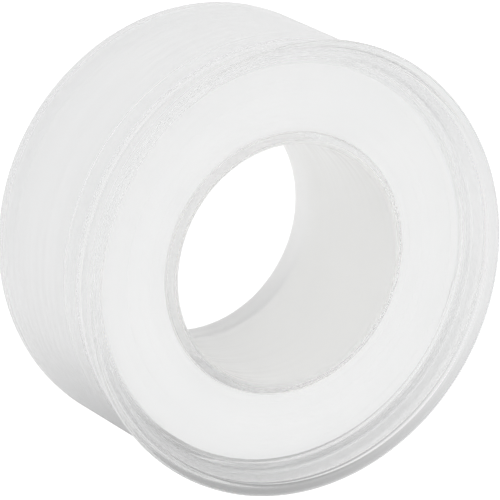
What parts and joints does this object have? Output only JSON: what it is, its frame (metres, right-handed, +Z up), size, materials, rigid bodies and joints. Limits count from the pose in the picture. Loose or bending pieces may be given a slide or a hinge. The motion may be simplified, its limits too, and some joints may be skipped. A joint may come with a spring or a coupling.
{
  "type": "thread seal tape roll",
  "caption": "Roll of white thread seal tape wound on a clear spool with a dished front and a lip, closed from behind by a clear slide-on cover.",
  "frame": {"origin": "middle of the cover's back face, on the axis of the bore", "axes": "+Z up along the axis of the roll, from the cover's back, which it lies on, to the dished front of the spool; +X and +Y lie in the back face, with the tape's loose end near +X"},
  "size_m": [0.052, 0.052, 0.0252],
  "materials": {
    "clear_case": "clear, slightly milky, glossy",
    "seal_tape": "soft matt white film"
  },
  "bodies": {
    "spool": {"spool": "clear_case"},
    "cover": {"cover": "clear_case"},
    "tape": {"tape_roll": "seal_tape", "tape_outer_turn": "seal_tape"}
  },
  "joints": [
    {"name": "spool_pull", "type": "slide", "parent": "cover", "child": "spool", "axis": [0, 0, 1], "range_m": [0, 0.022]},
    {"name": "tape_spin", "type": "hinge", "parent": "spool", "child": "tape", "pos_m": [0, 0, 0], "axis": [0, 0, 1], "continuous": true}
  ]
}
